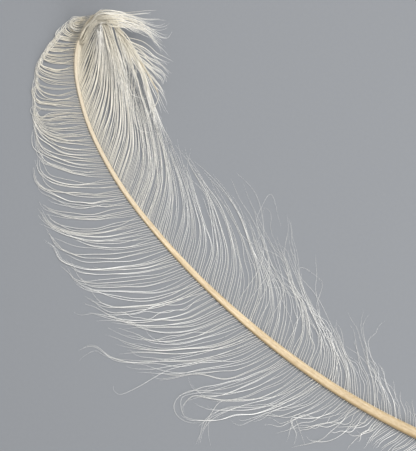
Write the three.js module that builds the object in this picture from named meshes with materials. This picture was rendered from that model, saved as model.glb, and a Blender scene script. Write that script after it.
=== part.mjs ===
// An ostrich plume lying on a flat surface, hollow side up, its tip curled over towards the viewer.
//
// The quill and shaft are one tapered solid. Each vane of loose barbs, and the barbs of the curled tip,
// is one soft sheet of the outline that its barb tips reach.
//
// Frame, in millimetres: the origin is on the flat underside of the shaft where the first barbs grow,
// +X runs along the feather towards its crown, +Y towards the left vane, and +Z up.
import * as THREE from "three";

// ---------------------------------------------------------------------------------------------
// Driving dimensions
// ---------------------------------------------------------------------------------------------

// The underside of the shaft, from the point of the quill to the end of the curled tip.
const SHAFT_LINE = [
  [-43, -24.5, 0],
  [0, 0, 0],
  [43, 19.9, 0],
  [86, 35.6, 0],
  [131, 48, 0],
  [176.5, 56.8, 0],
  [222.5, 62.4, 0],
  [268.5, 64.4, 0],
  [315, 62.3, 0],
  [360, 53, 0],
  [386, 42.5, 0],
  [404, 32, 0.8],
  [418, 18.5, 5],
  [425.5, 2, 14],
  [426, -10, 25],
  [418, -15.5, 34],
  [404, -14, 38],
  [386, -12, 36.5],
  [368, -9.5, 31],
  [350, -6, 23],
];
// Width of the shaft, against the distance from the point of the quill.
const SHAFT_WIDTHS = [
  [0, 2.2],
  [3, 4.6],
  [12, 7.2],
  [45, 8.2],
  [80, 8.1],
  [130, 7.3],
  [215, 6.3],
  [280, 4.9],
  [375, 3.8],
  [450, 2.9],
  [530, 2.0],
  [622, 0.7],
];
const SHAFT_HEIGHT_SHARE = 0.86; // height of its section, as a share of the width
const UNDERSIDE_CUT = 0.8; // the section is cut flat at this share of its half height below the middle
const SHAFT_STEPS = 104;
const SHAFT_SIDES = 16;

// A vane runs from the side of the shaft, at a distance from the point of the quill, out to where its
// barb tips end: rows of [distance along the shaft, x, y and lift of the tips above the surface].
const LEFT_VANE_EDGE = [
  [54, 8, 24, 0],
  [74, 24, 44, 0],
  [92, 44, 62, 0],
  [112, 74, 96, 0],
  [136, 106, 128, 0],
  [160, 134, 150, 0],
  [188, 172, 160, 0],
  [214, 222, 178, 0],
  [240, 262, 166, 0],
  [280, 310, 148, 0],
  [321, 348, 122, 0],
  [364, 376, 102, 0],
  [398, 401, 80, 0],
  [430, 416, 64, 0],
  [455, 428, 48, 1],
  [476, 433, 30, 4],
  [498, 437, 10, 7],
];
const RIGHT_VANE_EDGE = [
  [54, 24, -1, 0],
  [82, 60, -4, 0],
  [98, 104, -14, 0],
  [124, 140, -14, 0],
  [150, 172, -14, 0],
  [178, 212, -22, 0],
  [208, 244, -22, 0],
  [236, 272, -12, 0],
  [258, 294, 0, 0],
  [292, 330, 6, 1],
  [326, 370, -2, 7],
  [358, 401, -4, 15],
  [394, 408, -2, 18],
  [420, 412, 1, 19],
  [444, 415, 5, 19],
];
const VANE_THICKNESS = 3;
const VANE_STATIONS = 48;
const VANE_COLUMNS = 8;
const VANE_RISE_POWER = 1.6; // how late along a barb it rises: 1 is evenly
const SHAFT_GAP = 0.6; // clear space between the shaft and a vane

// The barbs of the curled tip lie over the shaft there: rows of three points across the sheet, left
// over the vane, middle over the shaft, and right where the tufts end.
const TIP_ROWS = [
  [[434, 3, 30], [432, -12, 33], [426, -24, 33]],
  [[419, -1, 39], [419, -16, 42.5], [412, -34, 36]],
  [[402, 2, 40], [402, -14, 45], [392, -48, 27]],
  [[384, 3, 36], [385, -12, 43.2], [374, -43, 22]],
  [[366, 5, 31], [367, -10, 37.2], [356, -32, 17]],
  [[346, 7, 23], [347, -6, 28.5], [340, -18, 17]],
  [[325, 11, 13], [324, 1, 17], [322, -8, 12]],
  [[305, 15, 7.5], [304, 8, 9], [303, 2, 7.5]],
];
const TIP_THICKNESS = 2.6;
const TIP_STATIONS = 28;
const TIP_COLUMNS = 8;

// ---------------------------------------------------------------------------------------------
// Shape helpers
// ---------------------------------------------------------------------------------------------

// The value at `at` of a table of [position, value] rows, on straight lines between the rows.
function interpolate(rows, at) {
  const next = rows.findIndex(([position]) => position >= at);
  if (next <= 0) return next < 0 ? rows[rows.length - 1][1] : rows[0][1];
  const [[x0, y0], [x1, y1]] = [rows[next - 1], rows[next]];
  return THREE.MathUtils.mapLinear(at, x0, x1, y0, y1);
}

// A closed solid from rings of the same number of points, each ring anticlockwise seen against the
// direction in which the rings follow each other. Both ends are closed with a fan.
function loftRings(rings) {
  const sides = rings[0].length;
  const points = rings.flat();
  const faces = [];
  for (let i = 0; i + 1 < rings.length; i += 1) {
    for (let k = 0; k < sides; k += 1) {
      const a = i * sides + k;
      const b = i * sides + ((k + 1) % sides);
      faces.push(a, b, b + sides, a, b + sides, a + sides);
    }
  }
  const addEnd = (ring, first, reversed) => {
    const middle = ring.reduce((sum, p) => sum.add(p), new THREE.Vector3()).divideScalar(sides);
    points.push(middle);
    for (let k = 0; k < sides; k += 1) {
      const pair = [first + k, first + ((k + 1) % sides)];
      faces.push(points.length - 1, ...(reversed ? pair.reverse() : pair));
    }
  };
  addEnd(rings[0], 0, true);
  addEnd(rings[rings.length - 1], (rings.length - 1) * sides, false);
  return new THREE.BufferGeometry().setFromPoints(points).setIndex(faces);
}

// A closed sheet of one thickness from a grid of points on its middle surface. A row runs across the
// sheet from its left or root edge, and the rows follow each other so that up is on the top face.
function thickSheet(rows, thickness) {
  const half = new THREE.Vector3(0, 0, thickness / 2);
  const rings = rows.map((row) => [
    ...row.map((p) => p.clone().sub(half)),
    ...row.map((p) => p.clone().add(half)).reverse(),
  ]);
  return loftRings(rings);
}

// ---------------------------------------------------------------------------------------------
// The shaft
// ---------------------------------------------------------------------------------------------

const shaftLine = new THREE.CatmullRomCurve3(
  SHAFT_LINE.map(([x, y, z]) => new THREE.Vector3(x, y, z)),
  false,
  "centripetal",
);
shaftLine.arcLengthDivisions = 2000;
const SHAFT_LENGTH = shaftLine.getLength();

// One frame per step along the shaft: its point on the underside, and its directions left and up.
function shaftFrames() {
  const up = new THREE.Vector3(0, 0, 1);
  return Array.from({ length: SHAFT_STEPS + 1 }, (_, i) => {
    const share = i / SHAFT_STEPS;
    const along = shaftLine.getTangentAt(share);
    up.addScaledVector(along, -up.dot(along)).normalize();
    return {
      distance: share * SHAFT_LENGTH,
      point: shaftLine.getPointAt(share),
      left: new THREE.Vector3().crossVectors(up, along),
      up: up.clone(),
    };
  });
}

// The shaft's section in a frame: an ellipse whose lowest part is cut off flat along the underside.
function shaftRing({ distance, point, left, up }) {
  const width = interpolate(SHAFT_WIDTHS, distance);
  const height = width * SHAFT_HEIGHT_SHARE;
  return Array.from({ length: SHAFT_SIDES }, (_, k) => {
    const angle = ((k + 0.5) / SHAFT_SIDES) * 2 * Math.PI;
    const across = (Math.cos(angle) * width) / 2;
    const share = (Math.max(Math.sin(angle), -UNDERSIDE_CUT) + UNDERSIDE_CUT) / (1 + UNDERSIDE_CUT);
    return point.clone().addScaledVector(left, across).addScaledVector(up, share * height);
  });
}

function shaftGeometry() {
  return loftRings(shaftFrames().map(shaftRing));
}

// ---------------------------------------------------------------------------------------------
// The vanes and the tip's barbs
// ---------------------------------------------------------------------------------------------

// The middle surface of a vane on one side of the shaft, `side` being 1 for the left and -1 for the right.
function vaneGeometry(edge, side) {
  const tips = new THREE.CatmullRomCurve3(
    edge.map(([, x, y, lift]) => new THREE.Vector3(x, y, lift)),
    false,
    "centripetal",
  );
  const roots = edge.map(([distance], i) => [i / (edge.length - 1), distance]);
  const rows = Array.from({ length: VANE_STATIONS + 1 }, (_, i) => {
    const share = i / VANE_STATIONS;
    const distance = interpolate(roots, share);
    const along = shaftLine.getTangentAt(distance / SHAFT_LENGTH);
    const outwards = new THREE.Vector3(-along.y, along.x, 0).normalize().multiplyScalar(side);
    const clear = interpolate(SHAFT_WIDTHS, distance) / 2 + SHAFT_GAP;
    const root = shaftLine.getPointAt(distance / SHAFT_LENGTH).addScaledVector(outwards, clear);
    const tip = tips.getPoint(share);
    return Array.from({ length: VANE_COLUMNS + 1 }, (_, k) => {
      const out = k / VANE_COLUMNS;
      const lift = THREE.MathUtils.lerp(root.z, Math.max(tip.z, 0), out ** VANE_RISE_POWER);
      return root.clone().lerp(tip, out).setZ(lift + VANE_THICKNESS / 2);
    });
  });
  return thickSheet(side > 0 ? rows : rows.reverse(), VANE_THICKNESS);
}

function tipGeometry() {
  const lines = [0, 1, 2].map(
    (k) =>
      new THREE.CatmullRomCurve3(
        TIP_ROWS.map((row) => new THREE.Vector3(...row[k])),
        false,
        "centripetal",
      ),
  );
  const rows = Array.from({ length: TIP_STATIONS + 1 }, (_, i) => {
    const across = new THREE.CatmullRomCurve3(lines.map((line) => line.getPoint(i / TIP_STATIONS)));
    return across.getPoints(TIP_COLUMNS);
  });
  return thickSheet(rows, TIP_THICKNESS);
}

// ---------------------------------------------------------------------------------------------
// The feather
// ---------------------------------------------------------------------------------------------

const keratin = new THREE.MeshStandardMaterial({ color: 0xeacfa0, roughness: 0.45, metalness: 0 });
const barbs = new THREE.MeshStandardMaterial({ color: 0xefece4, roughness: 0.8, metalness: 0 });

const feather = new THREE.Group();
for (const [name, geometry, material] of [
  ["shaft", shaftGeometry(), keratin],
  ["left_vane", vaneGeometry(LEFT_VANE_EDGE, 1), barbs],
  ["right_vane", vaneGeometry(RIGHT_VANE_EDGE, -1), barbs],
  ["tip_barbs", tipGeometry(), barbs],
]) {
  geometry.computeVertexNormals();
  const mesh = new THREE.Mesh(geometry, material);
  mesh.name = name;
  feather.add(mesh);
}

export default feather;
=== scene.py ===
"""An ostrich plume that lies on a pale surface, with the end of its shaft curled over towards the viewer.

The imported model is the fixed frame: +X runs along the feather towards its crown, +Y towards the left vane
and +Z up. Lengths in the tables and fields below are in millimetres, and meshes are made in metres.
"""

import logging
import math
from dataclasses import dataclass, field
from enum import Enum
from typing import NamedTuple, Sequence

import bmesh
import bpy
import numpy as np
from mathutils import Matrix, Vector

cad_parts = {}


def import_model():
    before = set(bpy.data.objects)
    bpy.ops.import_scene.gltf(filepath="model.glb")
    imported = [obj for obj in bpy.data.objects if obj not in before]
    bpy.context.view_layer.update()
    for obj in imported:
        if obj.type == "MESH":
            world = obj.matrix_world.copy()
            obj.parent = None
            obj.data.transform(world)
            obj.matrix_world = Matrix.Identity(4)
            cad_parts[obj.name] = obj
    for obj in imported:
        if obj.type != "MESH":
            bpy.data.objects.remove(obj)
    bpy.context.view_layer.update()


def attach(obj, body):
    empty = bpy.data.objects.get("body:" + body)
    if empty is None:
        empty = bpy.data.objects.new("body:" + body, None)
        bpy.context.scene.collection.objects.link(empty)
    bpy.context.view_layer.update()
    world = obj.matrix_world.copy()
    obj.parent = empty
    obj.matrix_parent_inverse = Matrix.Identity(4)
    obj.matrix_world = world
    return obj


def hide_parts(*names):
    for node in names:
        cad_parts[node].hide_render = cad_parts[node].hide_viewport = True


MM = 0.001
BODY = "root"
SEED = 20611
MARKS = "grown_marks"  # the attribute that the finishes read

Draws = np.random.Generator
Numbers = np.ndarray | float
Socket = bpy.types.NodeSocket
Place = tuple[float, float]
Point = tuple[float, float, float]
Span = tuple[float, float]  # a low and a high value, or a start and an end
Rows = tuple[tuple[float, float], ...]  # (place, value) rows, read on straight lines between them
Colour = tuple[float, float, float]
TONE_SPREAD = 0.12  # how much the tone of a barb differs from that of its lock
FULL_TURN = 2 * math.pi
WAVE_RATES = (0.6, 1.4)  # how much fewer or more turns than asked for a random wave has
SLOW_PART, QUICK_PART = 0.7, 0.3  # the heights of a random wave's two swings
QUICK_RATE = 2.3  # how many times as quick as the slow swing the other one is
TINY = 1e-9  # keeps a division by a length from failing
log = logging.getLogger("plume")


class Side(Enum):
    """The sides of the shaft, seen from above with the crown ahead. The value is the sign of +Y."""

    LEFT = 1.0
    RIGHT = -1.0


# ---- Lines and random motion ----


def smooth(share: Numbers) -> np.ndarray:
    """Return an even rise from 0 to 1, with level ends, of a share that is held between 0 and 1."""
    held = np.clip(share, 0.0, 1.0)
    return held * held * (3.0 - 2.0 * held)


def unit(vectors: np.ndarray) -> np.ndarray:
    """Return the vectors in the last axis at length 1."""
    return vectors / (np.linalg.norm(vectors, axis=-1, keepdims=True) + TINY)


def read(rows: Rows, place: Numbers) -> np.ndarray:
    """Return the values of a table of (place, value) rows at these places."""
    return np.interp(place, *zip(*rows))


class Line:
    """A smooth line through a few points, which is read by the distance along it, in millimetres."""

    STEPS = 40  # points drawn from each given point to the next
    TENSION = 0.5  # the power of a gap that keeps the line free of loops
    REACH = 1.0  # how far to both sides of a place its direction is read

    def __init__(self, points: Sequence[Sequence[float]]) -> None:
        """Draw the line.

        Args:
            points: The points that it passes through, at least two, flat or in space.
        """
        knots = np.array(points, float)
        knots = np.vstack([2 * knots[0] - knots[1], knots, 2 * knots[-1] - knots[-2]])
        gaps = np.linalg.norm(np.diff(knots, axis=0), axis=1) ** self.TENSION
        share = np.linspace(0.0, 1.0, self.STEPS, endpoint=False)[:, None]
        runs = []
        for i in range(1, len(knots) - 2):
            before, start, end, after = knots[i - 1 : i + 3]
            gap_in, gap, gap_out = gaps[i - 1 : i + 2]
            step = end - start
            leave = step + gap * ((start - before) / gap_in - (end - before) / (gap_in + gap))
            reach = step + gap * ((after - end) / gap_out - (after - start) / (gap + gap_out))
            rest = step - leave
            turn = leave + reach - 2 * step
            runs.append(start + share * (leave + share * (rest - turn + share * turn)))
        self.points = np.vstack([*runs, knots[-2:-1]])
        lengths = np.linalg.norm(np.diff(self.points, axis=0), axis=1)
        self.distances = np.concatenate([[0.0], np.cumsum(lengths)])
        self.length = float(self.distances[-1])

    def at(self, distance: Numbers) -> np.ndarray:
        """Return the points at these distances along the line, one a row."""
        wanted = np.atleast_1d(distance)
        return np.stack([np.interp(wanted, self.distances, c) for c in self.points.T], axis=-1)

    def along(self, distance: Numbers) -> np.ndarray:
        """Return the line's unit directions at these distances, one a row."""
        wanted = np.clip(np.atleast_1d(distance), self.REACH, self.length - self.REACH)
        return unit(self.at(wanted + self.REACH) - self.at(wanted - self.REACH))

    def spread(self, count: int) -> np.ndarray:
        """Return this many points, evenly spaced from end to end."""
        return self.at(np.linspace(0.0, self.length, count))


def sampled(row: np.ndarray, share: np.ndarray) -> np.ndarray:
    """Return points along a row of evenly spaced ones.

    Args:
        row: The evenly spaced points.
        share: The shares of the row to read at, from 0 to 1.

    Returns:
        A point for each share.
    """
    place = np.clip(share, 0.0, 1.0) * (len(row) - 1)
    below = np.minimum(place.astype(int), len(row) - 2)
    part = (place - below)[:, None]
    return row[below] * (1 - part) + row[below + 1] * part


def wave(rng: Draws, share: np.ndarray, turns: float) -> np.ndarray:
    """Return a random wave about zero, at most 1 high, of a slow swing and a weaker and quicker one.

    Args:
        rng: The source of random numbers.
        share: The places that it is read at, from 0 to 1.
        turns: About how many times the slow swing goes up and down.

    Returns:
        The height of the wave at each place.
    """
    rate = turns * rng.uniform(*WAVE_RATES, 2)
    phase = rng.uniform(0.0, FULL_TURN, 2)
    slow = np.sin(FULL_TURN * rate[0] * share + phase[0])
    quick = np.sin(FULL_TURN * QUICK_RATE * rate[1] * share + phase[1])
    return SLOW_PART * slow + QUICK_PART * quick


# ---- Barbs ----


@dataclass
class Shapes:
    """Many small closed shapes as arrays: points in millimetres, four- and three-cornered faces, and marks.

    A point's marks are its share of the way from root to tip, the tone of its barb, and 1 on a barbule.
    """

    points: np.ndarray
    quads: np.ndarray
    triangles: np.ndarray
    marks: np.ndarray

    @staticmethod
    def joined(parts: Sequence["Shapes"]) -> "Shapes":
        """Put shapes together.

        Args:
            parts: The shapes to join, in order.

        Returns:
            All of them as one.
        """
        starts = np.cumsum([0] + [len(p.points) for p in parts[:-1]])
        return Shapes(
            np.vstack([p.points for p in parts]),
            np.vstack([p.quads + s for p, s in zip(parts, starts)]),
            np.vstack([p.triangles + s for p, s in zip(parts, starts)]),
            np.vstack([p.marks for p in parts]),
        )

    def to_object(self, name: str) -> bpy.types.Object:
        """Make a mesh object of the shapes, with their marks as the attribute that the finishes read.

        Args:
            name: The name of the object and of its mesh.

        Returns:
            The object, linked to the scene.
        """
        mesh = bpy.data.meshes.new(name)
        mesh.vertices.add(len(self.points))
        mesh.vertices.foreach_set("co", (self.points * MM).astype(np.float32).ravel())
        corners = np.concatenate([self.quads.ravel(), self.triangles.ravel()]).astype(np.int32)
        sizes = np.repeat([4, 3], [len(self.quads), len(self.triangles)])
        mesh.loops.add(len(corners))
        mesh.loops.foreach_set("vertex_index", corners)
        mesh.polygons.add(len(sizes))
        starts = np.concatenate([[0], np.cumsum(sizes)[:-1]]).astype(np.int32)
        mesh.polygons.foreach_set("loop_start", starts)
        mesh.polygons.foreach_set("use_smooth", np.ones(len(sizes), bool))
        marks = mesh.attributes.new(MARKS, "FLOAT_VECTOR", "POINT")
        marks.data.foreach_set("vector", self.marks.astype(np.float32).ravel())
        mesh.update(calc_edges=True)
        made = bpy.data.objects.new(name, mesh)
        bpy.context.scene.collection.objects.link(made)
        return made


@dataclass(frozen=True)
class Thread:
    """The make of one kind of barb and of the fine barbules along it, in millimetres and degrees.

    widths gives a barb's width against the share of its length, as a share of its full width, and
    shoulder is how high its flat top lies, as a share of the half thickness. The barbules grow between
    the two shares of barbule_span. Each has a random part of the full length, within barbule_lengths,
    that grows with its share of the barb as barbule_growth says: at the root, and what is added by the
    tip. Over the very tip, from short_from on, they get shorter by short_by. They lean away from the
    barb by barbule_lean, and a few by up to stray_lean more, and roll about it by about barbule_roll.
    """

    width: float = 0.36
    thickness: float = 0.3
    shoulder: float = 0.6
    widths: Rows = ((0.0, 1.3), (0.03, 0.66), (0.45, 1.0), (0.8, 0.7), (0.92, 0.4), (1.0, 0.1))
    barbules_per_mm: float = 1.2
    barbule_span: Span = (0.03, 0.99)
    barbule_length: float = 1.2
    barbule_lengths: Span = (0.45, 1.2)
    barbule_growth: Span = (0.6, 0.5)
    short_from: float = 0.8
    short_by: float = 0.6
    barbule_width: float = 0.07
    barbule_lean: Span = (8.0, 24.0)
    stray_lean: float = 24.0
    barbule_roll: float = 24.0


# Plain barbs, fine ones that stay thin from the shaft on, and full ones that hardly narrow at all.
PLAIN = Thread()
FINE = Thread(widths=((0.0, 1.3), (0.03, 0.72), (0.4, 0.66), (0.9, 0.3), (1.0, 0.1)))
FULL = Thread(widths=((0.0, 1.15), (0.25, 1.05), (0.6, 1.0), (1.0, 0.75)))


@dataclass
class Barbs:
    """Barbs as arrays of the same length: their paths, tones and girths, and their make.

    paths holds one barb a row, each of the same number of points from root to tip, in millimetres.
    Tones run from 0 to 1, and a girth is how many times as thick as its make a barb is.
    """

    STEPS = 44
    CROWDING = 1.35  # how much closer together the points of a path are towards its tip
    SHARES = 1.0 - (1.0 - np.linspace(0.0, 1.0, STEPS)) ** CROWDING
    STRAY_POWER = 5  # how few of the barbules lean out far
    LOWEST = 0.1  # the least height of a barbule's tip over the surface, in millimetres

    paths: np.ndarray
    tones: np.ndarray
    girths: np.ndarray
    thread: Thread

    def directions(self) -> tuple[np.ndarray, np.ndarray, np.ndarray]:
        """Find the directions of the barbs at each of their points.

        Returns:
            The unit directions along the barbs, left across them and up from them.
        """
        along = unit(np.gradient(self.paths, axis=1))
        across = unit(np.cross((0.0, 0.0, 1.0), along))
        return along, across, np.cross(along, across)

    def mesh(self, name: str, rng: Draws) -> bpy.types.Object:
        """Make one object of every barb and barbule, each a thin closed shape of its own.

        Args:
            name: The name of the object.
            rng: The source of random numbers.

        Returns:
            The object.
        """
        made = Shapes.joined([self._stems(), self._barbules(rng)]).to_object(name)
        triangles = sum(len(face.vertices) - 2 for face in made.data.polygons)
        log.info("%s: %d barbs, %d triangles", name, len(self.paths), triangles)
        return made

    def _stems(self) -> Shapes:
        """Make the barbs as rods of three flat sides, one of them on top, that narrow to their tips.

        Returns:
            The rods.
        """
        count, steps = self.paths.shape[:2]
        thread = self.thread
        _, across, up = self.directions()
        taper = read(thread.widths, self.SHARES)[None, :, None] * self.girths[:, None, None]
        wide = across * taper * thread.width / 2
        high = up * taper * thread.thickness / 2
        top = high * thread.shoulder
        corners = [self.paths + wide + top, self.paths - wide + top, self.paths - high]
        points = np.stack(corners, axis=2).reshape(-1, 3)
        ring = 3 * np.arange(count * steps).reshape(count, steps)
        near, far = ring[:, :-1].reshape(-1, 1), ring[:, 1:].reshape(-1, 1)
        walls = [np.hstack([near + a, near + b, far + b, far + a]) for a, b in ((0, 1), (1, 2), (2, 0))]
        ends = [ring[:, 0:1] + (0, 2, 1), ring[:, -1:] + (0, 1, 2)]
        shares, tones = self.SHARES[None, :, None], self.tones[:, None, None]
        marks = np.stack(np.broadcast_arrays(shares, tones, 0.0), -1).repeat(3, axis=2)
        return Shapes(points, np.vstack(walls), np.vstack(ends), marks.reshape(-1, 3))

    def _barbules(self, rng: Draws) -> Shapes:
        """Make the fine barbules as closed spikes that lean forwards along both sides of the barbs.

        Args:
            rng: The source of random numbers.

        Returns:
            The spikes.
        """
        thread = self.thread
        lengths = np.linalg.norm(np.diff(self.paths, axis=1), axis=2).sum(axis=1)
        numbers = np.round(lengths * thread.barbules_per_mm).astype(int)
        barb = np.repeat(np.arange(len(self.paths)), numbers)
        total = len(barb)
        share = rng.uniform(*thread.barbule_span, total)
        place = np.interp(share, self.SHARES, np.arange(self.STEPS))
        below = np.minimum(place.astype(int), self.STEPS - 2)
        part = (place - below)[:, None]
        root = self.paths[barb, below] * (1 - part) + self.paths[barb, below + 1] * part
        along, across, up = (d[barb, below] for d in self.directions())
        side = np.where(rng.random(total) < 0.5, -1.0, 1.0)
        lean = rng.uniform(*thread.barbule_lean, total)
        lean = np.radians(lean + thread.stray_lean * rng.random(total) ** self.STRAY_POWER)
        roll = np.radians(rng.normal(0.0, thread.barbule_roll, total))
        out = across * (side * np.cos(roll))[:, None] + up * np.sin(roll)[:, None]
        way = along * np.cos(lean)[:, None] + out * np.sin(lean)[:, None]
        reach = thread.barbule_length * rng.uniform(*thread.barbule_lengths, total)
        reach *= thread.barbule_growth[0] + thread.barbule_growth[1] * share
        reach *= 1.0 - thread.short_by * smooth((share - thread.short_from) / (1.0 - thread.short_from))
        tip = root + way * reach[:, None]
        tip[:, 2] = np.maximum(tip[:, 2], self.LOWEST)
        half = thread.barbule_width / 2
        flat = unit(np.cross(way, up)) * half
        tall = unit(np.cross(flat, way)) * half
        corners = [root + flat, root - flat, root + tall, tip]
        points = np.stack(corners, axis=1).reshape(-1, 3)
        first = 4 * np.arange(total)[:, None]
        turns = ((0, 1, 2), (0, 3, 1), (1, 3, 2), (2, 3, 0))
        faces = np.vstack([first + turn for turn in turns])
        marks = np.stack([share, self.tones[barb], np.ones(total)], axis=1).repeat(4, axis=0)
        return Shapes(points, np.empty((0, 4), int), faces, marks)


@dataclass(frozen=True)
class Gather:
    """How the barbs of one lock run together, and come apart at their tips.

    Lengths are in millimetres. closed gives the share of a barb's length by which its lock has closed, at
    the least and at the most, and closeness is the distance between its barbs then, as a share of that
    between their roots. reach is how much of the lock's length they have. They sway to both sides along
    their length, in so many turns, flare apart and curl from the two shares given on, and lift a little.
    Barbs shorter than full_length do all this less, and keep their own ways more.
    """

    SPLAY = 0.25  # how far a barb flares to its own side of the lock, for each millimetre it lies aside
    SWAY_RISE = 3.0  # a sway is full after one part in this many of a barb's length
    LIFT_TURNS = 1.5
    LIFT_RISE = 4.0

    closed: Span = (0.22, 0.5)
    closeness: float = 0.2
    reach: Span = (0.76, 1.0)
    sway: float = 0.3
    turns: float = 1.4
    flare_from: float = 0.55
    flare: float = 1.6
    curl_from: float = 0.86
    curl: float = 1.5
    lift: float = 0.15
    full_length: float = 60.0

    def path(
        self, rng: Draws, own: np.ndarray, row: np.ndarray, aside: float, closed: float
    ) -> np.ndarray:
        """Return one barb's path.

        Args:
            rng: The source of random numbers.
            own: Evenly spaced points along the way that it would take alone.
            row: Evenly spaced points along the middle of its lock.
            aside: How far its root is to the left of the lock's, seen along the lock.
            closed: The share of its length by which the lock has closed.

        Returns:
            A point for each of Barbs.SHARES.
        """
        share = Barbs.SHARES * rng.uniform(*self.reach)
        base = sampled(row, share)
        across = unit(np.cross((0.0, 0.0, 1.0), np.gradient(base, axis=0)))
        shut = smooth(share / closed)[:, None]
        apart, hook = self._towards_tip(self.flare_from), self._towards_tip(self.curl_from)
        room = min(1.0, float(np.linalg.norm(np.diff(row, axis=0), axis=1).sum()) / self.full_length)
        off = rng.normal(self.SPLAY * aside, 1.0) * self.flare * apart
        off = off + rng.normal(0.0, self.curl) * hook
        off = off + wave(rng, share, self.turns) * self.sway * smooth(share * self.SWAY_RISE)
        off = aside * (1.0 - (1.0 - self.closeness) * room) * shut[:, 0] + off * room
        path = sampled(own, share) * (1 - shut) + base * shut + across * off[:, None]
        path[:, 2] += wave(rng, share, self.LIFT_TURNS) * self.lift * smooth(share * self.LIFT_RISE)
        return path

    @staticmethod
    def _towards_tip(start: float) -> np.ndarray:
        """Return a rise from 0 at a share of a barb's length to 1 at its tip, slow at first."""
        return np.clip((Barbs.SHARES - start) / (1 - start), 0.0, 1.0) ** 2


# A barb on a course of its own, loose barbs that stray widely, and loose barbs that hardly do.
SINGLE = Gather(reach=(0.95, 1.0), sway=0.4, flare=0.4, curl=0.6)
WILD = Gather(closed=(0.4, 0.6), sway=2.2, turns=2.0, flare=4.5, curl=3.0)
NEAT = Gather(reach=(0.88, 1.0), sway=0.4, flare=0.5, curl=0.5)


# ---- The shaft ----


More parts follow.
